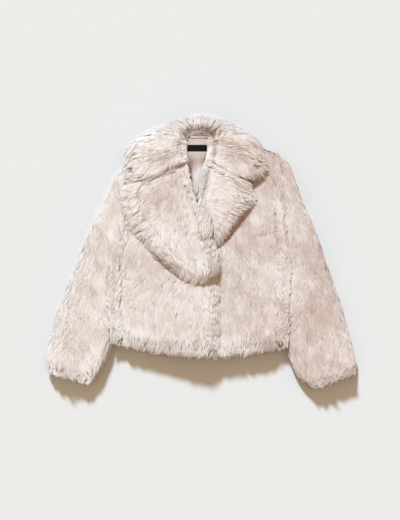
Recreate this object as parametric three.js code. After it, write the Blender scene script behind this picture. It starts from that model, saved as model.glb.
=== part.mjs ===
// Cropped faux fur coat with a wide collar and long lapels, laid flat on its back.
// Millimetres. +Z is up from the surface, +Y runs from the hem to the collar, and +X is the wearer's left.
import * as THREE from "three";
import { mergeVertices } from "three/addons/utils/BufferGeometryUtils.js";

// Driving dimensions. A pile is a cloth's whole depth: its backing and the fur on it.
const GAP = 0.3; // between pieces at a seam or where one rests on another
const BACK_PILE = 18; // pressed under the coat
const FRONT_PILE = 25; // free on top
const CENTRE_PILE = 30; // beside the front edge, where the facing is fur too
const CENTRE_WIDTH = 120; // over this width the pile eases to the front's own
const PRESSED_PILE = 13; // under another piece
const PRESS_REACH = 16; // a piece presses what is under it from this far outside its outline
const COLLAR_PILE = 29;
const NECK_SEAM = BACK_PILE + GAP; // height of the seam that joins the collar to the back
const LINING_THICK = 1.5;
const LABEL_THICK = 0.9;
const FREE_EDGE = 20; // radius of a fur edge that lies free
const SEAM_EDGE = 7; // radius beside a seam
const UNDER_EDGE = 13; // radius of the underside's edge
const SLEEVE_SEAM = 17; // height of the fold at a sleeve's two sides
const SLEEVE_HOLLOW = 3; // clear height inside a sleeve as it lies
const SLEEVE_SIDE = 17; // wall at a sleeve's fold
const TUFT = 2.4; // how far the locks rise and fall
const FRINGE = 5; // how far every other lock stands out at a hem
const CROWD = 0.45; // how much closer the stations are near an edge
const RIM = 4; // wall left at the very edge of a fur cloth

// How finely the pieces are divided: stations along, then across.
const GRIDS = {
  back: [24, 22],
  front: [35, 16],
  rightLapel: [21, 12],
  leftLapel: [16, 9],
  collar: [50, 11],
  sleeve: [40, 12],
  lining: [12, 16],
  label: [3, 8],
};
const HOLLOW_STATIONS = 4; // a sleeve's inner wall takes every fourth of its outer stations

// How a cloth is laid: it clears what lies within LAY_REACH, and each easing bridges the steps a little more.
const LAY_REACH = 6;
const LAY_CHECKS = 5; // places that are looked at along each side of a grid cell
const EASE_SHARE = 0.6;
const EASINGS = { front: 8, lapel: 14, collar: 10, lining: 1 };
const MAP_CELL = 3;
const MAP_HALF = 480;

// Seams that the pieces share. The shoulder and underarm are the two ends of an armhole.
const SHOULDER_Y = { right: 234, left: 256 };
const UNDERARM_Y = 50;
const ROLL_END_Y = -60; // above this the lapels are turned over
const SIDES = [
  { y: -243, right: -222, left: 213 },
  { y: -168, right: -226, left: 214 },
  { y: -97, right: -228, left: 217 },
  { y: -30, right: -226, left: 219 },
  { y: 10, right: -218, left: 214 },
  { y: UNDERARM_Y, right: -206, left: 205 },
  { y: 256, right: -190, left: 198 },
];

// The back, from the hem up: r and l are the heights of the row's right and left ends.
// sag is how far its middle lies below them.
const BACK_ROWS = [
  { r: -230, l: -241, sag: 23 },
  { r: -160, l: -168, sag: 16 },
  { r: -90, l: -97, sag: 9 },
  { r: -28, l: -30, sag: 4 },
  { r: 10, l: 10, sag: 0 },
  { r: UNDERARM_Y, l: UNDERARM_Y, sag: 0 },
  { r: 98, l: 108, sag: 0 },
  { r: 146, l: 166, sag: -16 },
  { r: 192, l: 218, sag: -48 },
  { r: SHOULDER_Y.right - 6, l: SHOULDER_Y.left - 6, sag: -76 },
];

// The fronts, from the hem up: a is on the front edge or the lapel's roll line, b is on the side seam.
const RIGHT_FRONT_ROWS = [
  { ax: 24, ay: -264, by: -230, sag: 12 },
  { ax: 25, ay: -204, by: -176, sag: 8 },
  { ax: 25, ay: -142, by: -122, sag: 4 },
  { ax: 23, ay: -84, by: -66, sag: 0 },
  { ax: 17, ay: -34, by: -20, sag: 0 },
  { ax: 8, ay: 14, by: 12, sag: 0 },
  { ax: -1, ay: 56, by: UNDERARM_Y, sag: 0 },
  { ax: -13, ay: 116, by: 98, sag: 0 },
  { ax: -28, ay: 176, by: 144, sag: 0 },
  { ax: -37, ay: 240, by: 190, sag: -4 },
  { ax: -38, ay: 304, by: SHOULDER_Y.right, sag: -8 },
];
const LEFT_FRONT_ROWS = [
  { ax: -40, ay: -264, by: -241, sag: 12 },
  { ax: -40, ay: -204, by: -184, sag: 8 },
  { ax: -38, ay: -142, by: -126, sag: 4 },
  { ax: -33, ay: -84, by: -66, sag: 0 },
  { ax: -26, ay: -34, by: -20, sag: 0 },
  { ax: -20, ay: 14, by: 12, sag: 0 },
  { ax: -15, ay: 56, by: UNDERARM_Y, sag: 0 },
  { ax: -11, ay: 116, by: 103, sag: 0 },
  { ax: -1, ay: 180, by: 156, sag: 0 },
  { ax: 10, ay: 244, by: 208, sag: -4 },
  { ax: 23, ay: 304, by: SHOULDER_Y.left, sag: -8 },
];

// The lapels, from the gorge seam to the tip: a is on the roll line, and b is on the outer edge.
// pile is the cloth's depth there.
const RIGHT_LAPEL_ROWS = [
  { ax: -36, ay: 238, bx: -144, by: 191, pile: 25 },
  { ax: -36, ay: 214, bx: -175, by: 178, pile: 26 },
  { ax: -33, ay: 190, bx: -186, by: 152, pile: 28 },
  { ax: -26, ay: 166, bx: -187, by: 121, pile: 28 },
  { ax: -17, ay: 139, bx: -176, by: 93, pile: 28 },
  { ax: -11, ay: 110, bx: -155, by: 70, pile: 27 },
  { ax: -6, ay: 80, bx: -127, by: 44, pile: 27 },
  { ax: 0, ay: 48, bx: -98, by: 13, pile: 26 },
  { ax: 8, ay: 16, bx: -68, by: -13, pile: 25 },
  { ax: 17, ay: -10, bx: -41, by: -37, pile: 23 },
  { ax: 20, ay: -33, bx: -17, by: -51, pile: 20 },
  { ax: 13, ay: -53, bx: 0, by: -58, pile: 15 },
];
const LEFT_LAPEL_ROWS = [
  { ax: 19, ay: 240, bx: 100, by: 195, pile: 25 },
  { ax: 10, ay: 222, bx: 119, by: 182, pile: 26 },
  { ax: 4, ay: 200, bx: 124, by: 161, pile: 28 },
  { ax: -2, ay: 175, bx: 119, by: 137, pile: 28 },
  { ax: -10, ay: 145, bx: 102, by: 112, pile: 27 },
  { ax: -12, ay: 115, bx: 85, by: 88, pile: 25 },
  { ax: -11, ay: 88, bx: 68, by: 66, pile: 22 },
  { ax: -7, ay: 62, bx: 51, by: 49, pile: 17 },
  { ax: 0, ay: 38, bx: 34, by: 32, pile: 13 },
  { ax: 7, ay: 18, bx: 21, by: 17, pile: 10 },
];

// The collar, from its right gorge seam round the neck to its left one: a is at the neck, b is the outer edge.
// low is the least height of its underside at the outer edge, and rise is how far the roll stands up.
const COLLAR_ROWS = [
  { ax: -37, ay: 241, bx: -145, by: 194, low: 30, rise: 0 },
  { ax: -39, ay: 252, bx: -177, by: 194, low: 24, rise: 0 },
  { ax: -41, ay: 264, bx: -197, by: 216, low: 18, rise: 2 },
  { ax: -42, ay: 276, bx: -201, by: 250, low: 14, rise: 5 },
  { ax: -41, ay: 288, bx: -187, by: 286, low: 8, rise: 10 },
  { ax: -38, ay: 300, bx: -148, by: 315, low: 0, rise: 18 },
  { ax: -31, ay: 309, bx: -97, by: 338, low: 0, rise: 26 },
  { ax: -20, ay: 315, bx: -47, by: 356, low: 0, rise: 30 },
  { ax: -4, ay: 317, bx: 3, by: 364, low: 0, rise: 32 },
  { ax: 12, ay: 315, bx: 51, by: 355, low: 0, rise: 30 },
  { ax: 21, ay: 308, bx: 95, by: 334, low: 0, rise: 26 },
  { ax: 25, ay: 298, bx: 134, by: 307, low: 0, rise: 18 },
  { ax: 26, ay: 286, bx: 159, by: 273, low: 8, rise: 10 },
  { ax: 25, ay: 273, bx: 164, by: 237, low: 14, rise: 5 },
  { ax: 23, ay: 260, bx: 150, by: 208, low: 20, rise: 0 },
  { ax: 20, ay: 245, bx: 102, by: 198, low: 30, rise: 0 },
];

// The sleeves, from the armhole to the cuff: o is on the outer fold, and i is on the fold beside the body.
const RIGHT_SLEEVE_ROWS = [
  { ox: -192.1, oy: 234, ix: -206.4, iy: 50, tall: 43 },
  { ox: -219, oy: 210, ix: -217, iy: 28, tall: 44 },
  { ox: -240, oy: 165, ix: -227, iy: 0, tall: 45 },
  { ox: -261, oy: 118, ix: -231.5, iy: -34, tall: 45 },
  { ox: -283, oy: 76, ix: -233.5, iy: -66, tall: 45 },
  { ox: -305, oy: 28, ix: -233.5, iy: -98, tall: 45 },
  { ox: -325, oy: -22, ix: -232.5, iy: -132, tall: 45 },
  { ox: -345, oy: -74, ix: -231, iy: -166, tall: 44 },
  { ox: -364, oy: -126, ix: -230, iy: -200, tall: 44 },
  { ox: -382, oy: -175, ix: -231, iy: -232, tall: 43 },
  { ox: -394, oy: -225, ix: -242, iy: -266, tall: 42 },
  { ox: -402, oy: -270, ix: -262, iy: -302, tall: 41 },
  { ox: -397, oy: -304, ix: -286, iy: -335, tall: 38 },
];
const LEFT_SLEEVE_ROWS = [
  { ox: 198.4, oy: 256, ix: 205.4, iy: 52, tall: 43 },
  { ox: 227, oy: 236, ix: 213, iy: 32, tall: 44 },
  { ox: 246, oy: 184, ix: 220, iy: 8, tall: 45 },
  { ox: 265, oy: 132, ix: 225, iy: -24, tall: 45 },
  { ox: 289, oy: 78, ix: 226, iy: -56, tall: 45 },
  { ox: 309, oy: 24, ix: 224.5, iy: -92, tall: 45 },
  { ox: 328, oy: -36, ix: 222, iy: -130, tall: 45 },
  { ox: 349, oy: -92, ix: 219, iy: -168, tall: 44 },
  { ox: 366, oy: -144, ix: 218.5, iy: -207, tall: 44 },
  { ox: 381, oy: -194, ix: 222, iy: -245, tall: 43 },
  { ox: 392, oy: -240, ix: 235, iy: -286, tall: 42 },
  { ox: 400, oy: -280, ix: 257, iy: -324, tall: 41 },
  { ox: 398, oy: -312, ix: 286, iy: -345, tall: 38 },
];

// The lining shows in the neck opening only. Its pleat opens below the label, over the length named opening.
const LINING_ROWS = [
  { ax: -36, ay: 100, bx: 14, by: 100 },
  { ax: -48, ay: 160, bx: 24, by: 160 },
  { ax: -58, ay: 228, bx: 40, by: 228 },
  { ax: -58, ay: 276, bx: 42, by: 276 },
  { ax: -44, ay: 313, bx: 30, by: 313 },
];
const PLEAT = { x: -9, topY: 250, height: 2.6, width: 22, opening: 60 };
const LABEL = { x: -10, y: 276, wide: 62, tall: 17 };
const LOOP = { x: -6, y: 308, wide: 46, bow: 4, radius: 2.2, sides: 10, steps: 16 };

const FUR = { color: 0xe2d5cc, roughness: 0.95, metalness: 0 };
const SATIN = { color: 0xe6d3c6, roughness: 0.45, metalness: 0 };
const WOVEN_BLACK = { color: 0x16161a, roughness: 0.6, metalness: 0 };

// Small helpers

const mix = (a, b, t) => a + (b - a) * t;
const clamp01 = (t) => Math.min(1, Math.max(0, t));
const ease = (t) => clamp01(t) ** 2 * (3 - 2 * clamp01(t));

// A quarter circle: 0 on the edge, and 1 from radius inwards.
const roundOff = (distance, radius) => Math.sqrt(1 - (1 - clamp01(distance / radius)) ** 2);

// Spreads evenly spaced shares of a row so that they lie closer near both ends.
const crowd = (t) => t - (CROWD * Math.sin(2 * Math.PI * t)) / (2 * Math.PI);

// The soft lumps of fur where the locks gather, from -1 to 1.
const tuft = (x, y) =>
  Math.sin(x / 8 + 1.9 * Math.sin(y / 33)) * Math.cos(y / 11 + 1.6 * Math.sin(x / 29));

// The body's side seam and armhole, as x at a height up the coat.
function sideX(y, side) {
  const upper = Math.max(1, SIDES.findIndex((row) => row.y >= y));
  const [low, high] = [SIDES[upper - 1], SIDES[upper]];
  return mix(low[side], high[side], (y - low.y) / (high.y - low.y));
}

// A smooth curve through one column pair of a table, read by the share of its rows.
function edgeCurve(rows, xName, yName) {
  const points = rows.map((row) => new THREE.Vector3(row[xName], row[yName], 0));
  return new THREE.CatmullRomCurve3(points, false, "centripetal");
}

// One column of a table, read by the share of its rows.
function column(rows, name) {
  return (share) => {
    const place = share * (rows.length - 1);
    const row = Math.min(rows.length - 2, Math.floor(place));
    return mix(rows[row][name] ?? 0, rows[row + 1][name] ?? 0, place - row);
  };
}

// The height of everything laid down so far, on a square map.
class LaidHeights {
  constructor() {
    this.size = Math.ceil((2 * MAP_HALF) / MAP_CELL);
    this.heights = new Float32Array(this.size ** 2);
  }

  cell(value) {
    return Math.round((value + MAP_HALF) / MAP_CELL);
  }

  // Marks the cells under a triangle with its height at places spread over it, its edges and corners too.
  addTriangle(a, b, c) {
    const steps = Math.ceil(Math.max(a.distanceTo(b), b.distanceTo(c), c.distanceTo(a)) / MAP_CELL);
    const place = new THREE.Vector3();
    for (let i = 0; i <= steps; i += 1) {
      for (let j = 0; j <= steps - i; j += 1) {
        place.copy(a).multiplyScalar((steps - i - j) / steps);
        place.addScaledVector(b, i / steps).addScaledVector(c, j / steps);
        const at = this.cell(place.x) * this.size + this.cell(place.y);
        this.heights[at] = Math.max(this.heights[at], place.z);
      }
    }
  }

  add(geometry) {
    const position = geometry.getAttribute("position");
    const corner = (k) => new THREE.Vector3().fromBufferAttribute(position, geometry.index.getX(k));
    for (let k = 0; k < geometry.index.count; k += 3) {
      this.addTriangle(corner(k), corner(k + 1), corner(k + 2));
    }
  }

  // The least height that clears what is laid near a place.
  clearance(x, y) {
    const cells = Math.ceil(LAY_REACH / MAP_CELL);
    let top = 0;
    for (let i = -cells; i <= cells; i += 1) {
      for (let j = -cells; j <= cells; j += 1) {
        top = Math.max(top, this.heights[(this.cell(x) + i) * this.size + this.cell(y) + j]);
      }
    }
    return top > 0 ? top + GAP : 0;
  }
}

const coat = new THREE.Group();
const laid = new LaidHeights();

// How far a place lies inside an outline, negative outside.
function depthInside(outline, x, y) {
  let inside = false;
  let nearest = Infinity;
  outline.forEach((p, k) => {
    const q = outline[(k + 1) % outline.length];
    if (p.y > y !== q.y > y && x < mix(p.x, q.x, (y - p.y) / (q.y - p.y))) inside = !inside;
    const along = clamp01(((x - p.x) * (q.x - p.x) + (y - p.y) * (q.y - p.y)) / p.distanceToSquared(q));
    nearest = Math.min(nearest, Math.hypot(x - mix(p.x, q.x, along), y - mix(p.y, q.y, along)));
  });
  return inside ? nearest : -nearest;
}

// The outline of a table's two edges, as points.
function outlineOf(rows) {
  const first = rows.map((row) => new THREE.Vector2(row.ax, row.ay));
  const second = rows.map((row) => new THREE.Vector2(row.bx, row.by));
  return [...first, ...second.reverse()];
}

// A share from 0 to 1 of how deep a place lies under any of the outlines.
function covered(outlines, x, y) {
  const depth = Math.max(...outlines.map((outline) => depthInside(outline, x, y)));
  return ease(1 + depth / PRESS_REACH);
}

// A grid of places between two edges, with the distance to each of the four edges.
function plan({ rows, stations: [along, across], sagOf = () => 0, fringe = 0 }) {
  const edgeA = edgeCurve(rows, "ax", "ay");
  const edgeB = edgeCurve(rows, "bx", "by");
  const length = (edgeA.getLength() + edgeB.getLength()) / 2;
  const grid = [];
  for (let i = 0; i <= along; i += 1) {
    const share = crowd(i / along);
    const a = edgeA.getPoint(share);
    const b = edgeB.getPoint(share);
    const width = a.distanceTo(b);
    grid.push([]);
    for (let j = 0; j <= across; j += 1) {
      const t = crowd(j / across);
      const place = a.clone().lerp(b, t);
      place.y -= sagOf(share) * (1 - (2 * t - 1) ** 2);
      if (i === 0 && j % 2 === 1) place.y -= fringe;
      const edges = [t * width, (1 - t) * width, share * length, (1 - share) * length];
      grid[i].push({ x: place.x, y: place.y, share, t, edges });
    }
  }
  return grid;
}

// The underside of a cloth that lies on what is laid, eased so that it bridges steps.
function lay(grid, lowOf, easings) {
  const least = grid.map((line) =>
    line.map(({ x, y, share, t }) => Math.max(laid.clearance(x, y), lowOf(share, t))),
  );
  let heights = least;
  const inGrid = (i, j) => heights[i]?.[j];
  for (let easing = 0; easing < easings; easing += 1) {
    heights = heights.map((line, i) =>
      line.map((height, j) => {
        const beside = [inGrid(i - 1, j), inGrid(i + 1, j), inGrid(i, j - 1), inGrid(i, j + 1)];
        const known = beside.filter((value) => value !== undefined);
        const mean = known.reduce((sum, value) => sum + value, 0) / known.length;
        return Math.max(least[i][j], mix(height, mean, EASE_SHARE));
      }),
    );
    liftClear(grid, heights);
  }
  return heights;
}

// Lifts the corners of each grid cell until places on its two triangles clear what lies under them.
function liftClear(grid, heights) {
  for (let i = 0; i < grid.length - 1; i += 1) {
    for (let j = 0; j < grid[0].length - 1; j += 1) {
      const corners = [[i, j], [i + 1, j], [i, j + 1], [i + 1, j + 1]];
      for (let check = 0; check < LAY_CHECKS ** 2; check += 1) {
        const u = (check % LAY_CHECKS) / (LAY_CHECKS - 1);
        const v = Math.floor(check / LAY_CHECKS) / (LAY_CHECKS - 1);
        const weights = u >= v ? [1 - u, u - v, 0, v] : [1 - v, 0, v - u, u];
        const blend = (read) => corners.reduce((sum, [p, q], k) => sum + weights[k] * read(p, q), 0);
        const need = laid.clearance(blend((p, q) => grid[p][q].x), blend((p, q) => grid[p][q].y));
        const short = need - blend((p, q) => heights[p][q]);
        if (short <= 0) continue;
        const total = weights.reduce((sum, weight) => sum + weight ** 2, 0);
        corners.forEach(([p, q], k) => {
          heights[p][q] += (short * weights[k]) / total;
        });
      }
    }
  }
}

// A closed body from a grid's lower and upper heights, sewn together round its rim.
function closedSheet(grid, lower, upper) {
  const [lines, places] = [grid.length, grid[0].length];
  const position = [];
  for (const heights of [lower, upper]) {
    grid.forEach((line, i) => line.forEach(({ x, y }, j) => position.push(x, y, heights[i][j])));
  }
  const low = (i, j) => i * places + j;
  const high = (i, j) => lines * places + low(i, j);
  const index = [];
  const quad = (p, q, r, s) => index.push(p, q, r, p, r, s);
  for (let i = 0; i < lines - 1; i += 1) {
    for (let j = 0; j < places - 1; j += 1) {
      quad(high(i, j), high(i, j + 1), high(i + 1, j + 1), high(i + 1, j));
      quad(low(i, j), low(i + 1, j), low(i + 1, j + 1), low(i, j + 1));
    }
  }
  for (let j = 0; j < places - 1; j += 1) {
    quad(low(0, j), low(0, j + 1), high(0, j + 1), high(0, j));
    quad(low(lines - 1, j + 1), low(lines - 1, j), high(lines - 1, j), high(lines - 1, j + 1));
  }
  for (let i = 0; i < lines - 1; i += 1) {
    quad(low(i + 1, 0), low(i, 0), high(i, 0), high(i + 1, 0));
    quad(low(i, places - 1), low(i + 1, places - 1), high(i + 1, places - 1), high(i, places - 1));
  }
  return facingOut(position, index);
}

// A geometry with shared points whose faces point out, whichever way its grid ran.
function facingOut(position, index) {
  const geometry = new THREE.BufferGeometry();
  geometry.setAttribute("position", new THREE.Float32BufferAttribute(position, 3));
  geometry.setIndex(index);
  const corner = (k) => new THREE.Vector3().fromBufferAttribute(geometry.attributes.position, index[k]);
  let volume = 0;
  for (let k = 0; k < index.length; k += 3) {
    volume += corner(k).dot(corner(k + 1).cross(corner(k + 2)));
  }
  if (volume < 0) {
    for (let k = 0; k < index.length; k += 3) {
      [index[k + 1], index[k + 2]] = [index[k + 2], index[k + 1]];
    }
    geometry.setIndex(index);
  }
  geometry.computeVertexNormals();
  return geometry;
}

// A cloth with fur on top: it rests on what is laid, and its four edges round off by their own radii.
function furCloth({ pileOf, radii, easings, lowOf = () => 0, riseOf = () => 0, ...shape }) {
  const grid = plan(shape);
  const lower = lay(grid, lowOf, easings);
  const upper = grid.map((line, i) =>
    line.map(({ x, y, share, t, edges }, j) => {
      const crown = edges.reduce((product, edge, k) => product * roundOff(edge, radii[k](share)), 1);
      const depth = pileOf(x, y, share) + TUFT * tuft(x, y) + riseOf(share) * Math.sin(Math.PI * t);
      return lower[i][j] + RIM + (depth - RIM) * crown;
    }),
  );
  return closedSheet(grid, lower, upper);
}

// The pieces

function addPiece(name, geometry, finish) {
  const mesh = new THREE.Mesh(geometry, new THREE.MeshStandardMaterial(finish));
  mesh.name = name;
  coat.add(mesh);
  laid.add(geometry);
}

// The back lies fur side down: flat under the coat, with its lower edge rounded.
function makeBack() {
  const rows = BACK_ROWS.map(({ r, l, sag }) => ({
    ax: sideX(r, "right"),
    ay: r,
    bx: sideX(l, "left"),
    by: l,
    sag,
  }));
  const grid = plan({ rows, stations: GRIDS.back, sagOf: column(rows, "sag"), fringe: FRINGE });
  const lower = grid.map((line) =>
    line.map(({ edges }) => UNDER_EDGE * (1 - roundOff(Math.min(...edges), UNDER_EDGE))),
  );
  const upper = grid.map((line) => line.map(() => BACK_PILE));
  return closedSheet(grid, lower, upper);
}

// A front's table with its side seam filled in.
const withSide = (rows, side) => rows.map((row) => ({ ...row, bx: sideX(row.by, side) }));

function makeFront(rows, covers) {
  const armhole = (rows.findIndex((row) => row.by === UNDERARM_Y) - 0.5) / (rows.length - 1);
  const roll = rows.findIndex((row) => row.ay > ROLL_END_Y) / (rows.length - 1);
  const pileOf = (x, y) => {
    const open = mix(CENTRE_PILE, FRONT_PILE, ease(Math.abs(x) / CENTRE_WIDTH));
    return mix(open, PRESSED_PILE, covered(covers, x, y));
  };
  return furCloth({
    rows,
    stations: GRIDS.front,
    easings: EASINGS.front,
    sagOf: column(rows, "sag"),
    fringe: FRINGE,
    pileOf,
    radii: [
      (share) => mix(FREE_EDGE, SEAM_EDGE, ease((share - roll) * (rows.length - 1))),
      (share) => (share > armhole ? SEAM_EDGE : FREE_EDGE),
      () => FREE_EDGE,
      () => SEAM_EDGE,
    ],
  });
}

function makeLapel(rows, stations, covers) {
  const openPile = column(rows, "pile");
  return furCloth({
    rows,
    stations,
    easings: EASINGS.lapel,
    pileOf: (x, y, share) =>
      Math.min(openPile(share), mix(openPile(share), PRESSED_PILE, covered(covers, x, y))),
    radii: [() => FREE_EDGE, () => FREE_EDGE, () => SEAM_EDGE, () => SEAM_EDGE],
  });
}

function makeCollar() {
  const outerLow = column(COLLAR_ROWS, "low");
  return furCloth({
    rows: COLLAR_ROWS,
    stations: GRIDS.collar,
    easings: EASINGS.collar,
    lowOf: (share, t) => mix(NECK_SEAM, outerLow(share), ease(t)),
    riseOf: column(COLLAR_ROWS, "rise"),
    pileOf: () => COLLAR_PILE,
    radii: [() => FREE_EDGE, () => FREE_EDGE, () => SEAM_EDGE, () => SEAM_EDGE],
  });
}

// One ring of a flattened sleeve: the top from fold to fold, then the bottom back again.
function sleeveRing(outer, inner, tall, across, inset) {
  const width = outer.distanceTo(inner);
  const span = width - 2 * inset;
  const over = [];
  const under = [];
  for (let j = 0; j <= across; j += 1) {
    const inside = crowd(j / across) * span;
    const edge = Math.min(inside, span - inside);
    const place = outer.clone().lerp(inner, (inset + inside) / width);
    if (inset > 0) {
      const half = (SLEEVE_HOLLOW / 2) * roundOff(edge, SLEEVE_HOLLOW);
      over.push([place.x, place.y, SLEEVE_SEAM + half]);
      under.push([place.x, place.y, SLEEVE_SEAM - half]);
    } else {
      const crown = roundOff(edge, FREE_EDGE);
      const lump = TUFT * tuft(place.x, place.y) * crown;
      over.push([place.x, place.y, SLEEVE_SEAM + (tall - SLEEVE_SEAM) * crown + lump]);
      under.push([place.x, place.y, SLEEVE_SEAM * (1 - roundOff(edge, UNDER_EDGE))]);
    }
  }
  return [...over, ...under.slice(1, -1).reverse()];
}

// Every other point of the cuff stands out along the sleeve.
function fringeCuff(cuff, beforeCuff) {
  cuff.forEach((point, k) => {
    if (k % 2 === 0) return;
    const [x, y] = beforeCuff[k];
    const run = new THREE.Vector2(point[0] - x, point[1] - y).setLength(FRINGE);
    point[0] += run.x;
    point[1] += run.y;
  });
}

// A sleeve is a tube that lies flat, open at the armhole and at the cuff.
function makeSleeve(rows) {
  const [along, across] = GRIDS.sleeve;
  const outerEdge = edgeCurve(rows, "ox", "oy");
  const innerEdge = edgeCurve(rows, "ix", "iy");
  const tallOf = column(rows, "tall");
  const outside = [];
  const inside = [];
  for (let i = 0; i <= along; i += 1) {
    const share = i / along;
    const outer = outerEdge.getPoint(share);
    const inner = innerEdge.getPoint(share);
    outside.push(sleeveRing(outer, inner, tallOf(share), across, 0));
    if (i % HOLLOW_STATIONS === 0) {
      inside.push(sleeveRing(outer, inner, tallOf(share), across, SLEEVE_SIDE));
    }
  }
  fringeCuff(outside.at(-1), outside.at(-2));
  const rings = [...outside, ...inside.reverse()];
  const count = rings[0].length;
  const index = [];
  rings.forEach((ring, i) => {
    const next = (i + 1) % rings.length;
    for (let k = 0; k < count; k += 1) {
      const [p, q] = [i * count + k, i * count + ((k + 1) % count)];
      const [r, s] = [next * count + ((k + 1) % count), next * count + k];
      index.push(p, q, r, p, r, s);
    }
  });
  return facingOut(rings.flat(2), index);
}

// The lining lies on the back's inner side. Its pleat is a raised fold with one sharp side.
function makeLining() {
  const grid = plan({ rows: LINING_ROWS, stations: GRIDS.lining });
  const lower = lay(grid, () => 0, EASINGS.lining);
  const upper = grid.map((line, i) =>
    line.map(({ x, y }, j) => {
      const opens = ease((PLEAT.topY - y) / PLEAT.opening);
      const fold = x < PLEAT.x ? 1 - ease((PLEAT.x - x) / PLEAT.width) : 0;
      return lower[i][j] + LINING_THICK + PLEAT.height * fold * opens;
    }),
  );
  return closedSheet(grid, lower, upper);
}

function makeLabel() {
  const { x, y, wide, tall } = LABEL;
  const rows = [0, 1, 2].map((k) => ({
    ax: x - wide / 2,
    ay: y + (k / 2 - 0.5) * tall,
    bx: x + wide / 2,
    by: y + (k / 2 - 0.5) * tall,
  }));
  const grid = plan({ rows, stations: GRIDS.label });
  const lower = lay(grid, () => 0, EASINGS.lining);
  const upper = lower.map((line) => line.map((height) => height + LABEL_THICK));
  return closedSheet(grid, lower, upper);
}

// The hanger loop is a satin tube laid across the neck seam, bowed a little towards the hem.
function makeLoop() {
  const { x, y, wide, bow, radius, sides, steps } = LOOP;
  const height = laid.clearance(x, y) + radius;
  const curve = new THREE.QuadraticBezierCurve3(
    new THREE.Vector3(x - wide / 2, y, height),
    new THREE.Vector3(x, y - bow, height),
    new THREE.Vector3(x + wide / 2, y, height),
  );
  const section = new THREE.Shape();
  for (let k = 0; k < sides; k += 1) {
    const angle = (k / sides) * 2 * Math.PI;
    const corner = [radius * Math.cos(angle), radius * Math.sin(angle)];
    if (k === 0) section.moveTo(...corner);
    else section.lineTo(...corner);
  }
  const tube = new THREE.ExtrudeGeometry(section, { steps, extrudePath: curve, bevelEnabled: false });
  tube.deleteAttribute("normal");
  tube.deleteAttribute("uv");
  const merged = mergeVertices(tube, 1e-3);
  merged.computeVertexNormals();
  return merged;
}

const rightFront = withSide(RIGHT_FRONT_ROWS, "right");
const leftFront = withSide(LEFT_FRONT_ROWS, "left");
const outlines = {
  rightFront: outlineOf(rightFront),
  rightLapel: outlineOf(RIGHT_LAPEL_ROWS),
  leftLapel: outlineOf(LEFT_LAPEL_ROWS),
  collar: outlineOf(COLLAR_ROWS),
};

addPiece("back", makeBack(), FUR);
addPiece("lining", makeLining(), SATIN);
addPiece("label", makeLabel(), WOVEN_BLACK);
addPiece("hanger_loop", makeLoop(), SATIN);
addPiece("left_front", makeFront(leftFront, [outlines.rightFront, outlines.leftLapel, outlines.collar]), FUR);
const overLeftLapel = [outlines.rightFront, outlines.collar];
addPiece("left_lapel", makeLapel(LEFT_LAPEL_ROWS, GRIDS.leftLapel, overLeftLapel), FUR);
addPiece("right_front", makeFront(rightFront, [outlines.rightLapel, outlines.collar]), FUR);
addPiece("right_lapel", makeLapel(RIGHT_LAPEL_ROWS, GRIDS.rightLapel, [outlines.collar]), FUR);
addPiece("right_sleeve", makeSleeve(RIGHT_SLEEVE_ROWS), FUR);
addPiece("left_sleeve", makeSleeve(LEFT_SLEEVE_ROWS), FUR);
addPiece("collar", makeCollar(), FUR);

// The origin is the middle of the coat's box, on the surface that it lies on.
const box = new THREE.Box3().setFromObject(coat);
const middle = box.getCenter(new THREE.Vector3());
coat.position.set(-middle.x, -middle.y, -box.min.z);

export default coat;
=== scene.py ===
import math

import bmesh
import bpy
import numpy as np
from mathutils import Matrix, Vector
from mathutils.bvhtree import BVHTree


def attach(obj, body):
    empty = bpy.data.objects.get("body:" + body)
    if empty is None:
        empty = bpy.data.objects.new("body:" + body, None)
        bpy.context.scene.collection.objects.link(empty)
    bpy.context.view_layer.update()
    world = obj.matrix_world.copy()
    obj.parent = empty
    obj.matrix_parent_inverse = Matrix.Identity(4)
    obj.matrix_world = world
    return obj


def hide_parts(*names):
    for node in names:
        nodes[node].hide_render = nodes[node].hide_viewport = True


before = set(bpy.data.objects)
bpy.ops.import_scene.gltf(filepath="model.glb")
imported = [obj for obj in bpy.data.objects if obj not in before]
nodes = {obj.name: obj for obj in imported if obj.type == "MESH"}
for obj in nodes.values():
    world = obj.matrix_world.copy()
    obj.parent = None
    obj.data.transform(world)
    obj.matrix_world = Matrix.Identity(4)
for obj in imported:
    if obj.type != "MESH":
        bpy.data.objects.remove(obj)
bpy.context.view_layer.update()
scene = bpy.context.scene

MM = 0.001

# The camera hangs straight above the coat, as when the photo was taken.
VIEW_MIDDLE = (-3.0, -21.8)  # the point of the floor in the middle of the picture, in mm
VIEW_HEIGHT = 4000  # mm above the floor
VIEW_LONG = 1352  # mm of the floor along the picture's long side
FILM = 36  # mm, the long side of the camera's film
FARTHEST = 20  # metres that the camera sees


def aim_camera():
    """Hangs the camera above the coat, looking straight down."""
    lens = bpy.data.cameras.new("overhead")
    lens.sensor_width = FILM
    lens.lens = FILM * VIEW_HEIGHT / VIEW_LONG
    lens.clip_end = FARTHEST
    camera = bpy.data.objects.new("overhead", lens)
    camera.location = (VIEW_MIDDLE[0] * MM, VIEW_MIDDLE[1] * MM, VIEW_HEIGHT * MM)
    scene.collection.objects.link(camera)
    scene.camera = camera


aim_camera()


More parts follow.
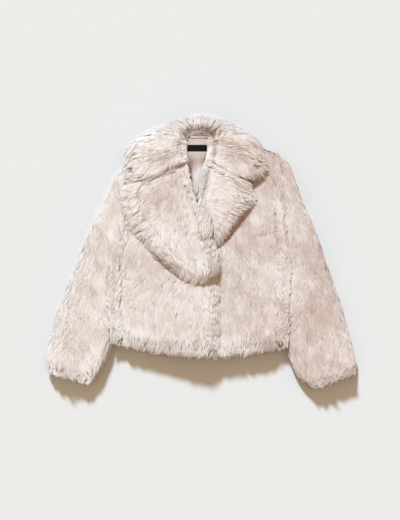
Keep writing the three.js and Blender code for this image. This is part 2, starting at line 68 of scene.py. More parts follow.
# The materials.
class Wire:
    """A number that runs through a material, so that sums in Python become its Math nodes."""

    def __init__(self, finish, socket):
        self.finish = finish
        self.socket = socket

    def _sum(self, operation, *values):
        made = self.finish.node("ShaderNodeMath", {"operation": operation}, dict(enumerate(values)))
        return Wire(self.finish, made.outputs[0])

    def __add__(self, other):
        return self._sum("ADD", self, other)

    def __sub__(self, other):
        return self._sum("SUBTRACT", self, other)

    def __rsub__(self, other):
        return self._sum("SUBTRACT", other, self)

    def __mul__(self, other):
        return self._sum("MULTIPLY", self, other)

    __radd__ = __add__
    __rmul__ = __mul__

    def sine(self):
        return self._sum("SINE", self)

    def eased(self, low, high):
        """0 up to low, 1 from high on, and a soft step between them."""
        made = self.finish.node(
            "ShaderNodeMapRange",
            {"interpolation_type": "SMOOTHSTEP"},
            {"Value": self, "From Min": low, "From Max": high},
        )
        return Wire(self.finish, made.outputs[0])


class Finish:
    """A material's tree, with its Principled shader made and joined to the output."""

    def __init__(self, name, **uniform):
        self.material = bpy.data.materials.new(name)
        self.material.use_nodes = True
        self.tree = self.material.node_tree
        self.tree.nodes.clear()
        self.shader = self.node("ShaderNodeBsdfPrincipled", {}, uniform)
        self.node("ShaderNodeOutputMaterial", {}, {"Surface": self.shader.outputs[0]})

    def node(self, kind, settings, inputs):
        """Makes a node: first its settings, then the values or links of its inputs."""
        made = self.tree.nodes.new(kind)
        for key, value in settings.items():
            setattr(made, key, value)
        for key, value in inputs.items():
            self.set(made, key, value)
        return made

    def set(self, made, key, value):
        """Gives one input of a node its number, colour or link."""
        socket = made.inputs[key]
        if isinstance(value, Wire):
            value = value.socket
        if isinstance(value, bpy.types.NodeSocket):
            self.tree.links.new(value, socket)
        elif socket.type == "RGBA" and len(value) == 3:
            socket.default_value = (*value, 1)
        else:
            socket.default_value = value

    def place(self):
        """The object's own coordinates, in metres."""
        return self.node("ShaderNodeTexCoord", {}, {}).outputs["Object"]

    def noise(self, size, detail, rough, stretch=(1, 1, 1)):
        """Noise with lumps of about size mm, which are longer along an axis of small stretch."""
        laid = self.node("ShaderNodeMapping", {}, {"Vector": self.place(), "Scale": stretch})
        lumps = {"Scale": 1 / (size * MM), "Detail": detail, "Roughness": rough}
        made = self.node("ShaderNodeTexNoise", {}, {"Vector": laid.outputs[0], **lumps})
        return Wire(self, made.outputs["Fac"])

    def axis(self, name, turn=(0, 0, 0)):
        """One of the object's own axes as a number in metres, after a turn."""
        laid = self.node("ShaderNodeMapping", {}, {"Vector": self.place(), "Rotation": turn})
        parts = self.node("ShaderNodeSeparateXYZ", {}, {0: laid.outputs[0]})
        return Wire(self, parts.outputs[name])

    def mix(self, share, one, other):
        """The colour one where share is 0, other where it is 1, and in between elsewhere."""
        made = self.node("ShaderNodeMix", {"data_type": "RGBA"}, {0: share, 6: one, 7: other})
        return made.outputs[2]

    def colour(self, value):
        """Paints the surface."""
        self.set(self.shader, "Base Color", value)

    def bump(self, height, deep):
        """Raises the surface by height times deep, in mm."""
        made = self.node("ShaderNodeBump", {}, {"Height": height, "Distance": deep * MM})
        self.set(self.shader, "Normal", made.outputs[0])


# The fur's colours: the tip and the root of its palest lock and of its deepest one.
TIP_PALE = (0.970, 0.895, 0.850)
TIP_DEEP = (0.700, 0.565, 0.500)
ROOT_PALE = (0.950, 0.850, 0.790)
ROOT_DEEP = (0.560, 0.385, 0.310)
TONE_RANGE = (0.05, 0.95)  # the tones of the deepest and of the palest lock
ROOT_TO_TIP = (0.25, 0.85)  # where along a lock the root's colour turns into the tip's
PALE_LOWER = 0.25  # how much nearer to the root that is on the palest lock


def fur_finish():
    """Locks from a pinkish root to a pale tip: u runs along each lock, v picks its tone."""
    made = Finish("faux_fur", Roughness=0.75, **{"Specular IOR Level": 0.25, "Sheen Weight": 0.1})
    uv = made.node("ShaderNodeUVMap", {"uv_map": LOCK_MAP}, {}).outputs[0]
    parts = made.node("ShaderNodeSeparateXYZ", {}, {0: uv})
    along, tone = Wire(made, parts.outputs[0]), Wire(made, parts.outputs[1])
    tip = made.mix(tone.eased(*TONE_RANGE), TIP_DEEP, TIP_PALE)
    root = made.mix(tone.eased(*TONE_RANGE), ROOT_DEEP, ROOT_PALE)
    made.colour(made.mix((along + tone * PALE_LOWER).eased(*ROOT_TO_TIP), root, tip))
    return made.material


def backing_finish():
    """The dense short underwool on the knitted backing, between the locks."""
    made = Finish("fur_backing", Roughness=0.9, **{"Sheen Weight": 0.2})
    wool = made.noise(size=1.6, detail=3, rough=0.6)
    made.colour(made.mix(wool, (0.86, 0.74, 0.67), (0.95, 0.86, 0.81)))
    made.bump(wool, deep=1.2)
    return made.material


TWILL = {"pitch": 0.0011, "slant": 0.6}  # the satin's fine rib, in metres and radians
# The neck's seam, with the hanger loop's shadow painted along it: the heights on Y, in metres,
# between which it starts and ends, and the painted shadow's colour.
SEAM_AND_LOOP_SHADOW = {"starts": (0.2915, 0.2932), "ends": (0.2940, 0.2957), "colour": (0.30, 0.20, 0.15)}


def satin_finish():
    """Beige satin: fine slanted rib, soft long creases, low sheen, neck seam with painted loop
    shadow.
    """
    made = Finish(
        "lining_satin",
        Roughness=0.5,
        **{"Sheen Weight": 0.2, "Sheen Roughness": 0.4, "Specular IOR Level": 0.25},
    )
    rib = (made.axis("X", (0, 0, TWILL["slant"])) * (2 * math.pi / TWILL["pitch"])).sine()
    crease = made.noise(size=26, detail=2, rough=0.5, stretch=(1, 0.3, 1))
    cloud = made.noise(size=40, detail=2, rough=0.5)
    cloth = made.mix(cloud, (0.86, 0.72, 0.64), (0.92, 0.80, 0.73))
    up = made.axis("Y")
    seam_and_loop_shadow = up.eased(*SEAM_AND_LOOP_SHADOW["starts"]) - up.eased(*SEAM_AND_LOOP_SHADOW["ends"])
    # The seam's line is painted dark as the hanger loop's shadow; its groove is a bump.
    made.colour(made.mix(seam_and_loop_shadow * 0.75, cloth, SEAM_AND_LOOP_SHADOW["colour"]))
    made.bump(rib * 0.04 + crease - seam_and_loop_shadow * 0.6, deep=1.6)
    return made.material


RIBBON_PITCH = {"X": 0.0009, "Y": 0.0007}  # metres from rib to rib and from weft to weft


def ribbon_finish():
    """Plain black woven ribbon with a fine rib."""
    made = Finish("black_ribbon", Roughness=0.8, **{"Specular IOR Level": 0.2})
    rib, weft = (
        (made.axis(axis) * (2 * math.pi / pitch)).sine() for axis, pitch in RIBBON_PITCH.items()
    )
    thread = made.noise(size=0.9, detail=2, rough=0.6)
    made.colour(made.mix(thread, (0.006, 0.006, 0.007), (0.016, 0.015, 0.017)))
    made.bump(rib * 0.5 + weft * 0.3 + thread * 0.4, deep=0.12)
    return made.material


def floor_finish():
    """Smooth pale paper."""
    made = Finish("pale_floor", Roughness=0.9, **{"Specular IOR Level": 0.1})
    cloud = made.noise(size=300, detail=2, rough=0.5)
    made.colour(made.mix(cloud, (0.800, 0.800, 0.790), (0.806, 0.806, 0.796)))
    made.bump(made.noise(size=2, detail=2, rough=0.5), deep=0.02)
    return made.material


LOCK_MAP = "OFBake"  # the locks' own UV map
FUR = fur_finish()
BACKING = backing_finish()
SATIN = satin_finish()
RIBBON = ribbon_finish()


# The fur: how the pile lies on each piece, in mm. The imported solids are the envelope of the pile,
# so each lock's tip lies on its solid's surface, and its root is down in the pile.
FUR_NODES = (
    "back", "left_front", "right_front", "left_sleeve", "right_sleeve",
    "left_lapel", "right_lapel", "collar",
)
RESTS_ON_FLOOR = ("back", "left_sleeve", "right_sleeve", "collar")
LOCKS_IN_ALL = 232000
MOST_LOCKS = 49900  # a piece stays under 200,000 triangles
JOINED = 0.02  # corners of the solids' loose triangles that are nearer than this are one
FLOOR_GAP = 0.3  # nothing lies lower than this over the floor

# Rounds of smoothing take the facets out of the solids' sides that look up at least so much.
CALMED = {"up": 0.55, "rounds": 7, "factor": 0.5}
# Where the wings of the collar sink: from this place on Y downwards, all that is above this height.
PRESSED = {"from": 258, "over": 26, "above": 58, "much": 0.85}
# How deep the backing lies below the pile's surface and at most how much of a thin piece's
# thickness, how much of that is left on sides that look down, and how much near the floor. The
# thickness is looked for from start mm below the surface, and is thick where nothing is met.
INSET = {
    "deep": 2.6, "most": 0.35, "under": 0.08, "at_floor": 0.6, "floor_to": 3, "start": 0.2,
    "thick": 20,
}

UNDER = -0.25  # sides that look up less than this belong to the underside
# How dense the locks are beside those on top: on rims, with reach mm of loose pile once more, and
# on the flat underside, up to this height.
DENSITY = {"rim": 1.4, "reach": 8, "flat": 0.15, "flat_up": -0.85, "height": 14}
RIM_UP = 0.6  # sides that look up or down less than this belong to a rim

# A lock's length from root to tip, how far its tip rises over its root, how much more where the
# pile stands, and half its width.
LOCK_SHAPE = {"shortest": 24, "longest": 34, "rise": 2.8, "stand": 4, "thin": 0.7, "thick": 1.3}
ROLL = 0.06  # how far the locks roll about their length, in radians
SIDEWAYS = 0.9  # how far a lock's knee strays to its side
SOFT_UP = 10  # how much the pile of a slope takes the light as if it were level, as loose fur does
ROUNDED = 5.0  # how much a lock takes the light as the pile around it does, and not as a rod
TUFTS = {"size": 13, "stretch": 2.0, "pull": 0.24}  # the tufts that the locks gather in
WISPS = {"size": 5, "stretch": 2.4, "pull": 0.3}  # the fine wisps in a tuft
# How far the locks' tips stand out of the surface: a stray part, how much a tuft and a wisp lift
# them, and how much they sink in all, at a parting and where shade is painted.
LIFT = {"stray": 0.06, "tuft": 0.18, "wisp": 0.08, "sunk": 0.2, "parted": 2.4, "deep": 1.4}
FLAT = {"deep": 0.6, "wisp": 0.3, "rise": 0.15}  # the same on the underside, and its share of rise
TURNS = {"tuft": 12, "wisp": 7, "stray": 4}  # degrees that a lock turns with its tuft and wisp
AHEAD = {"stray": 2.0, "ragged": 2.2}  # how far the tips lie ahead, and how much more on rims
HANGS = 0.9  # how much the pile of a side follows it, and not its own direction
SHORTER = 0.25  # how much shorter the locks at a parting are
RISES = (0.75, 1.25)  # the locks' rise goes from one share to the other
STANDS = {"from": 0.62, "over": 0.38}  # how nearly a place looks as the collar's roll does
LEAST_RUN = 3  # a lock runs at least so far along the surface
BOW = {"least": 0.15, "of_rise": 0.2}  # how far a lock's knee bows out
# The locks' tones from 0, deep, to 1, pale: the middle, and what each cause adds or takes. Of
# these, deep is painted shade, fringe is painted shade on the fringe of outer edges, and parted is
# both a parting's roots and, along the lapels' edges, painted shade.
TONES = {
    "middle": 0.64, "tuft": 0.08, "wisp": 0.07, "stray": 0.05,
    "parted": 0.8, "deep": 0.6, "fringe": 0.1, "paler_right": 0.08, "deeper_left": 0.22,
}
TONE_LIMITS = (0.02, 0.98)
ACROSS = {"from": 20, "over": 250}  # where on X the left side gets deeper, and over how far both do
FRINGE_FULL_SHADE = 6  # mm of fringe from which on its painted shade is full
PATCHES = [(0.18, 150, 21), (0.14, 40, 23), (0.07, 17, 25)]  # how much, how long and which seed
PALER = {"collar": 0.12, "left_lapel": 0.12, "right_lapel": 0.02}
ROLLED_BACK = np.array([-0.19, 0.77, 0.61])  # the way that the collar's roll looks

# An edge is where a side leans this much. Its crest is taken so far inside it, and the piece beside
# or below it is looked for on a way that falls so steeply, and within so many mm.
EDGE = {"lean": 0.4, "inside": 9, "falls": 0.8, "within": 70}
# How loose pile falls from an edge to the piece beside or below it: how steeply, at most how
# steeply, over at most what gap, in what steps, and how far out.
SPILL = {"slope": 0.42, "steepest": 0.7, "gap": 9, "first": 4, "step": 3, "longest": 46}
# How much of the way up to its crest the fringe of an outer edge stands, from what height on, and
# how it grows with the pile that hangs outwards.
FRINGE = {"much": 0.6, "from": 5, "over": 10, "hanging": 1.6, "least": 0.6}
CLEAR = 0.5  # how far off a side the looking starts, so that it misses the side itself

# The sides of the neck opening: how far up, and its left and right there. Then its middle.
OPEN_NECK = [
    (122, -13, -6), (173, -25, -1), (225, -36, 8), (259, -41, 18), (290, -40, 20), (318, -34, 15),
]
NECK = (-7.0, 268.0)

# Where the pile parts and its roots show, or, for the last two, where shade is painted below the
# lapels' lower edges: a line at x, y, turned by turn degrees from +X.
PARTINGS_AND_EDGE_SHADE = [
    {"x": -76, "y": 224, "turn": 27, "long": 42, "wide": 5, "deep": 0.85},
    {"x": -140, "y": 200, "turn": 8, "long": 30, "wide": 5, "deep": 0.55},
    {"x": -46, "y": -128, "turn": -45, "long": 16, "wide": 5, "deep": 0.7},
    {"x": 43, "y": -136, "turn": 90, "long": 20, "wide": 6, "deep": 0.55},
    {"x": -190, "y": -82, "turn": 10, "long": 18, "wide": 5, "deep": 0.4},
    {"x": 156, "y": 33, "turn": 12, "long": 50, "wide": 4, "deep": 0.5},
    {"x": 302, "y": -232, "turn": -30, "long": 34, "wide": 6, "deep": 0.65},
    {"x": 280, "y": -162, "turn": -15, "long": 26, "wide": 7, "deep": 0.6},
    {"x": 116, "y": -80, "turn": 84, "long": 60, "wide": 8, "deep": 0.35},
    {"x": 45, "y": -215, "turn": 80, "long": 24, "wide": 5, "deep": 0.35},
    # Painted shade below the lapels' lower edges, laid as partings.
    {"x": -92, "y": -34, "turn": -40, "long": 104, "wide": 9, "deep": 0.6},
    {"x": 99, "y": 54, "turn": 50, "long": 104, "wide": 9, "deep": 0.55},
]
# Where shade is painted into the pile's tone, and its tips sink a little: an ellipse, and how much
# it takes from the tone.
PAINTED_SHADE_ZONES = [
    {"x": 144, "y": 172, "rx": 36, "ry": 20, "deep": 0.45},
    {"x": 108, "y": 80, "rx": 30, "ry": 30, "deep": 0.5},
    {"x": 60, "y": 30, "rx": 26, "ry": 20, "deep": 0.3},
    {"x": -219, "y": 100, "rx": 17, "ry": 66, "deep": 0.6},
    {"x": -250, "y": -30, "rx": 34, "ry": 90, "deep": 0.25},
    {"x": 300, "y": -170, "rx": 36, "ry": 56, "deep": 0.35},
    {"x": 0, "y": 296, "rx": 40, "ry": 14, "deep": 0.3},
    {"x": -110, "y": 120, "rx": 46, "ry": 34, "deep": 0.22},
]

# Where an edge stays sharp over what lies below it, and how much of its reach it keeps there.
SHARP_EDGES = [
    {"x": -70, "y": -22, "rx": 60, "ry": 46, "keep": 0.75},
    {"x": 88, "y": 77, "rx": 46, "ry": 62, "keep": 0.35},
    {"x": 127, "y": 176, "rx": 46, "ry": 34, "keep": 0.4},
    {"x": 219, "y": -60, "rx": 12, "ry": 150, "keep": 0.45},
    {"x": 186, "y": 262, "rx": 52, "ry": 52, "keep": 0.05},
]


def unit(vectors):
    """The vectors at length 1."""
    return vectors / np.maximum(np.linalg.norm(vectors, axis=-1, keepdims=True), 1e-9)


WAVES = {"count": 6, "shortest": 0.7, "longest": 1.6, "high": 3.5}  # the waves of a swell


def swell(x, y, long, seed):
    """A smooth random field from -1 to 1, with waves of about the given length in mm."""
    rng = np.random.default_rng(seed)
    total = 0
    for _ in range(WAVES["count"]):
        turn, start = rng.uniform(0, 2 * math.pi, 2)
        pace = 2 * math.pi / (long * rng.uniform(WAVES["shortest"], WAVES["longest"]))
        total = total + np.sin(pace * (x * math.cos(turn) + y * math.sin(turn)) + start)
    return total / WAVES["high"]


def merged_copy(node):
    """The solid's mesh with its loose triangles joined and, for fur, its upper sides calmed."""
    bm = bmesh.new()
    bm.from_mesh(nodes[node].data)
    bmesh.ops.remove_doubles(bm, verts=bm.verts, dist=JOINED * MM)
    if node == "collar":
        press(bm)
    bm.normal_update()
    if node in FUR_NODES:
        level = [v for v in bm.verts if v.normal.z > CALMED["up"]]
        for _ in range(CALMED["rounds"]):
            bmesh.ops.smooth_vert(bm, verts=level, factor=CALMED["factor"], use_axis_z=True)
        bm.normal_update()
    return bm


def press(bm):
    """Lets the loose pile of the collar's wings sink, so that their edges lie low on the lapels."""
    for vert in bm.verts:
        share = min(1, max(0, (PRESSED["from"] * MM - vert.co.y) / (PRESSED["over"] * MM)))
        over = max(0, vert.co.z - PRESSED["above"] * MM)
        vert.co.z -= share * over * PRESSED["much"]


def finished(bm, name, material, smooth=True):
    """Makes a piece from the bmesh, with its finish, and lets it ride on the coat."""
    mesh = bpy.data.meshes.new(name)
    bm.to_mesh(mesh)
    bm.free()
    return placed(mesh, material, smooth)


def placed(mesh, material, smooth=True):
    """Puts a mesh in the scene, with its finish, and lets it ride on the coat."""
    mesh.polygons.foreach_set("use_smooth", [smooth] * len(mesh.polygons))
    mesh.materials.append(material)
    piece = bpy.data.objects.new(mesh.name, mesh)
    scene.collection.objects.link(piece)
    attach(piece, "root")
    return piece


def make_backing(node):
    """The solid drawn in by the pile's upper part, so that the locks cover it. It takes the light
    as the pile does."""
    bm = merged_copy(node)
    tree = BVHTree.FromBMesh(bm)
    places = []
    for vert in bm.verts:
        normal = vert.normal
        hit = tree.ray_cast(vert.co - normal * INSET["start"] * MM, -normal)
        thick = hit[3] if hit[0] else INSET["thick"] * MM
        share = INSET["under"] if normal.z < -0.5 else 1
        if vert.co.z < INSET["floor_to"] * MM:
            share = INSET["at_floor"]
        place = vert.co - normal * min(INSET["deep"] * MM, INSET["most"] * thick) * share
        place.z = max(place.z, FLOOR_GAP * MM)
        places.append(place)
    for vert, place in zip(bm.verts, places):
        vert.co = place
    bm.normal_update()
    light_up = [
        (v.normal + Vector((0, 0, SOFT_UP))).normalized() if v.normal.z > UNDER else v.normal.copy()
        for v in bm.verts
    ]
    piece = finished(bm, node + "_backing", BACKING)
    piece.data.normals_split_custom_set_from_vertices(light_up)
    return piece


class Skin:
    """A solid's surface as arrays, in mm, for scattering locks on it."""

    def __init__(self, node):
        bm = merged_copy(node)
        self.node = node
        self.tree = BVHTree.FromBMesh(bm)
        self.co = np.array([v.co for v in bm.verts]) / MM
        self.normal = np.array([v.normal for v in bm.verts])
        self.faces = np.array([[v.index for v in f.verts] for f in bm.faces])
        self.face_normal = np.array([f.normal for f in bm.faces])
        self.area = np.array([f.calc_area() for f in bm.faces]) / MM**2
        self.middle = self.co[self.faces].mean(1)
        bm.free()


# The ways on which a face may show: straight up, and eight slanting ones.
LOOKS_OUT = [(0, 0, 1)] + [
    (math.cos(k * math.pi / 4) * 0.8, math.sin(k * math.pi / 4) * 0.8, 0.6) for k in range(8)
]
LOOK_FAR = 120  # mm


def blocked(trees, start, way, far):
    """Whether one of the pieces stands in the way within so many mm."""
    return any(tree.ray_cast(start, way, far * MM)[0] is not None for tree in trees)


def uncovered(skin, others):
    """For each face, whether it shows from above past the other pieces."""
    shows = np.zeros(len(skin.faces), bool)
    for i, (middle, normal) in enumerate(zip(skin.middle, skin.face_normal)):
        start = Vector((middle + normal * CLEAR) * MM)
        for way in LOOKS_OUT:
            if np.dot(way, normal) < -0.3:
                continue
            if not blocked(others, start, Vector(way), LOOK_FAR):
                shows[i] = True
                break
    return shows


def reach_of_edges(skin, others):
    """For each face of an edge, how its pile falls to the piece beside or below it: the reach in
    mm, the height that the slope starts from and how steeply it falls. The last number, on an
    outer edge, is how far up its fringe stands."""
    found = np.zeros((len(skin.faces), 4))
    for i, (middle, normal) in enumerate(zip(skin.middle, skin.face_normal)):
        level = math.hypot(normal[0], normal[1])
        if level < EDGE["lean"]:
            continue
        out = np.array([normal[0] / level, normal[1] / level])
        below = Vector((out[0], out[1], -EDGE["falls"])).normalized()
        start = Vector((middle + normal * CLEAR) * MM)
        crest = max(middle[2], height_at([skin.tree], middle[:2] - out * EDGE["inside"]))
        if not blocked(others, start, below, EDGE["within"]):
            hangs = float(nap(skin.node, *middle[:2, None])[0] @ out)
            high = min(1, max(0, (middle[2] - FRINGE["from"]) / FRINGE["over"]))
            grown = max(0, FRINGE["hanging"] * hangs - FRINGE["least"])
            found[i, 3] = FRINGE["much"] * high * (crest - middle[2]) * grown
            continue
        slope, missed = SPILL["slope"], 0
        far, steep = 0, slope
        for step in range(SPILL["first"], SPILL["longest"] + 1, SPILL["step"]):
            x, y = middle[:2] + out * step
            if in_neck(x, y):
                break
            lies = height_at(others, (x, y))
            missed = missed + SPILL["step"] if lies < 1 else 0
            if missed > SPILL["gap"]:
                break
            if missed:
                continue
            far, steep = step, max(slope, min(SPILL["steepest"], (crest - lies) / step))
            if crest - slope * step <= lies + 1:
                steep = slope
                break
        share = min(1, max(0, crest - middle[2] + 1) / (steep * max(far, 1)))
        found[i, :3] = (far * share * edge_share(middle[0], middle[1]), crest, steep)
    return found


def height_at(trees, place):
    """How high the pieces stand at a point of the floor's plane, in mm, or 0."""
    start = Vector((place[0] * MM, place[1] * MM, 0.3))
    hits = [tree.ray_cast(start, Vector((0, 0, -1)))[0] for tree in trees]
    return max([hit.z / MM for hit in hits if hit] or [0])


def in_neck(x, y):
    """Whether points are in the neck opening, where no pile hides the lining."""
    heights, left, right = zip(*OPEN_NECK)
    between = (np.interp(y, heights, left) < x) & (x < np.interp(y, heights, right))
    return between & (y > heights[0]) & (y < heights[-1])


def edge_share(x, y):
    """How much of its reach an edge keeps here: 1, or less where the photo shows it sharp."""
    share = 1
    for edge in SHARP_EDGES:
        far = ((x - edge["x"]) / edge["rx"]) ** 2 + ((y - edge["y"]) / edge["ry"]) ** 2
        share = min(share, 1 - (1 - edge["keep"]) * math.exp(-(far**2)))
    return share


def density(skin, others, reach):
    """How densely the locks stand on each face: 1 on top, more on rims and where loose pile starts,
    less underneath and none where another piece covers it."""
    up, low = skin.face_normal[:, 2], skin.middle[:, 2] < DENSITY["height"]
    top = uncovered(skin, others) & (up > UNDER)
    under = (up <= UNDER) & low & (skin.node in RESTS_ON_FLOOR)
    above = np.where(np.abs(up) < RIM_UP, DENSITY["rim"], 1.0) + reach[:, 0] / DENSITY["reach"]
    below = np.where(up > DENSITY["flat_up"], 1.0, DENSITY["flat"])
    return np.where(top, above, 0) + np.where(under, below, 0)


SWIRLS = [(16, 120, 7), (9, 46, 11)]  # how far the nap turns in degrees, how long and which seed


def nap(node, x, y):
    """Which way the pile is brushed, as a direction in the floor's plane."""
    if node.endswith("sleeve"):
        # Down the sleeve, and towards its outer edge the more outwards, but less so at the cuff.
        side = -1 if node == "right_sleeve" else 1
        outward = np.clip((side * x - 215 - (200 - y) * 0.27) / 90, -0.4, 1)
        cuff = np.clip((-y - 230) / 110, 0, 1)
        turn = np.stack([side * (0.12 + 0.42 * outward * (1 - 0.5 * cuff)), -np.ones_like(x)], 1)
    elif node == "collar":
        # Away from the neck, and on the wings a little more outwards and down.
        turn = unit(np.stack([x - NECK[0], y - NECK[1]], 1))
        turn = turn + np.stack([0.25 * np.sign(x - NECK[0]), -0.35 * np.ones_like(x)], 1) * (
            np.clip(np.abs(x - NECK[0]) / 120, 0, 1)[:, None]
        )
    elif node == "right_lapel":
        # Down, and towards the outer edge outwards, but not so at the lower end.
        out = np.clip((-(x + 20) - (190 - y) * 0.1) / 120, 0, 1)
        low = np.clip((60 - y) / 110, 0, 1)
        turn = np.stack([0.1 - 0.8 * out * (1 - low), -0.95 + 0.25 * out], 1)
    elif node == "left_lapel":
        # Outwards, and further down the more downwards.
        low = np.clip((180 - y) / 150, 0, 1)
        turn = np.stack([0.95 - 0.3 * low, -0.25 - 0.5 * low], 1)
    else:
        turn = np.stack([0.1 * np.sign(x), -np.ones_like(x)], 1)
    swirl = sum(math.radians(much) * swell(x, y, long, seed) for much, long, seed in SWIRLS)
    return turned(unit(turn), swirl)[:, :2]


# A parting's line waves so many mm, at this pace, and runs out beyond its ends. Over a band that is
# wider than the parting itself, the pile is pushed away from it.
PARTED = {"waves": 1.5, "pace": 5.0, "ends": 1.4, "wider": 3, "push": 1.2}


def parted(x, y):
    """At each point: how much the pile is parted or has shade painted, and how it is pushed away
    from the line.
    """
    much, push = np.zeros_like(x), np.zeros((len(x), 2))
    for line in PARTINGS_AND_EDGE_SHADE:
        turn = math.radians(line["turn"])
        way, across = (math.cos(turn), math.sin(turn)), (-math.sin(turn), math.cos(turn))
        dx, dy = x - line["x"], y - line["y"]
        along = dx * way[0] + dy * way[1]
        off = dx * across[0] + dy * across[1] + PARTED["waves"] * np.sin(along / PARTED["pace"])
        reach = np.clip(PARTED["ends"] - np.abs(along) / (line["long"] / 2), 0, 1)
        near = line["deep"] * reach * np.exp(-((off / line["wide"]) ** 2))
        wide = line["deep"] * reach * np.exp(-((off / (PARTED["wider"] * line["wide"])) ** 2))
        much = np.maximum(much, near)
        push += np.outer(np.sign(off) * wide * PARTED["push"], across)
    return much, push


def painted_shade(x, y):
    """At each point: how much shade is painted on the pile there."""
    much = np.zeros_like(x)
    for zone in PAINTED_SHADE_ZONES:
        far = ((x - zone["x"]) / zone["rx"]) ** 2 + ((y - zone["y"]) / zone["ry"]) ** 2
        much = np.maximum(much, zone["deep"] * np.exp(-far))
    return much


TUFT_GRID = (251, 241)  # so many tufts each way until their places repeat
TUFT_FALL = 0.6  # how much lower a tuft is at its front end


def clump(x, y, way, sort, seed):
    """Gathers the points in tufts that are long along the nap. For each point: the vector across
    the nap to its tuft's ridge, how high it stands there, and the tuft's own random numbers."""
    rng = np.random.default_rng(seed)
    middles, luck = rng.random((*TUFT_GRID, 2)), rng.random((*TUFT_GRID, 3)) * 2 - 1
    size, stretch = sort["size"], sort["stretch"]
    i0, j0 = np.floor(x / size).astype(int), np.floor(y / size).astype(int)
    best = np.full(len(x), np.inf)
    along, across, own = np.zeros(len(x)), np.zeros(len(x)), np.zeros((len(x), 3))
    for step in range(25):  # the tuft may have its middle up to two cells away
        i, j = i0 + step // 5 - 2, j0 + step % 5 - 2
        cell = i % TUFT_GRID[0], j % TUFT_GRID[1]
        spot = middles[cell]
        dx, dy = (i + spot[:, 0]) * size - x, (j + spot[:, 1]) * size - y
        ahead, aside = dx * way[:, 0] + dy * way[:, 1], dy * way[:, 0] - dx * way[:, 1]
        far = (ahead / stretch) ** 2 + aside**2
        nearer = far < best
        best[nearer], along[nearer], across[nearer] = far[nearer], ahead[nearer], aside[nearer]
        own[nearer] = luck[cell][nearer]
    height = own[:, 0] - best / size**2 - TUFT_FALL * along / (size * stretch)
    pull = sort["pull"] * across
    return np.stack([-way[:, 1] * pull, way[:, 0] * pull, np.zeros(len(x))], 1), height, own


def scatter(skin, weight, count, rng):
    """Points on the skin, as dense as weight says: their faces, places and smooth normals."""
    load = skin.area * weight
    face = rng.choice(len(load), count, p=load / load.sum())
    a, b = np.sqrt(rng.random(count)), rng.random(count)
    shares = np.stack([1 - a, a * (1 - b), a * b], 1)[:, :, None]
    corner = skin.faces[face]
    return face, (skin.co[corner] * shares).sum(1), unit((skin.normal[corner] * shares).sum(1))


TIP = 3  # a lock's corners are its root, 0, its left and right sides, 1 and 2, and its tip


def lock_template():
    """The four faces of one lock, a slim closed leaf, by the numbers of its corners."""
    bm = bmesh.new()
    bmesh.ops.create_cone(bm, cap_ends=True, segments=3, radius1=1, radius2=0, depth=1)
    bmesh.ops.triangulate(bm, faces=bm.faces)
    bmesh.ops.recalc_face_normals(bm, faces=bm.faces)
    bm.verts.index_update()
    ring = sorted((v for v in bm.verts if v.co.z < 0), key=lambda v: math.atan2(v.co.x, v.co.y))
    order = {v.index: i for i, v in enumerate(ring)}
    faces = np.array([[order.get(v.index, TIP) for v in f.verts] for f in bm.faces])
    bm.free()
    return faces


LOCK_FACES = lock_template()
LEAST_UP = np.array([0, 0, 0.7])  # added to the way that a lock's back looks, so that it looks up


def lock_mesh(name, root, tip, bow, normal, up, thick, tone, rng):
    """All locks of a piece as one mesh. Each is a leaf from its root over its broad knee to its
    tip, with its broad side to the way that it looks, and takes the light as up says."""
    along = unit(tip - root)
    side = unit(np.cross(np.where(normal[:, 2:] > -0.3, normal + LEAST_UP, normal), along))
    out = np.cross(along, side)
    knee = (root + tip) / 2 + out * bow[:, None] + side * rng.normal(0, SIDEWAYS, (len(root), 1))
    spin = rng.normal(0, ROLL, len(root))
    cos, sin = np.cos(spin)[:, None], np.sin(spin)[:, None]
    side = side * cos + out * sin
    half = side * thick[:, None]
    co = np.stack([root, knee - half, knee + half, tip], 1)
    sides = [up - 0.15 * along, up * ROUNDED - side, up * ROUNDED + side, up + 0.15 * along]
    shade = unit(np.stack(sides, 1))
    co[:, :, 2] = np.maximum(co[:, :, 2], FLOOR_GAP)
    first = 4 * np.arange(len(root))
    faces = (LOCK_FACES[None] + first[:, None, None]).reshape(-1, 3)
    mesh = bpy.data.meshes.new(name)
    mesh.from_pydata(co.reshape(-1, 3) * MM, [], faces)
    per = LOCK_FACES.ravel()
    uv = np.empty((len(root), len(per), 2), np.float32)
    uv[:, :, 0] = np.array([0.02, 0.5, 0.5, 0.98])[per]
    uv[:, :, 1] = tone[:, None] + np.array([0, -0.007, 0.007, 0])[per]
    mesh.uv_layers.new(name=LOCK_MAP).uv.foreach_set("vector", uv.ravel())
    mesh.polygons.foreach_set("use_smooth", [True] * len(mesh.polygons))
    mesh.normals_split_custom_set_from_vertices(shade.reshape(-1, 3))
    return mesh


def turned(way, angle):
    """Ways in the floor's plane after a turn, with a height of 0."""
    cos, sin = np.cos(angle), np.sin(angle)
    x, y = way[:, 0] * cos - way[:, 1] * sin, way[:, 0] * sin + way[:, 1] * cos
    return np.stack([x, y, np.zeros(len(way))], 1)


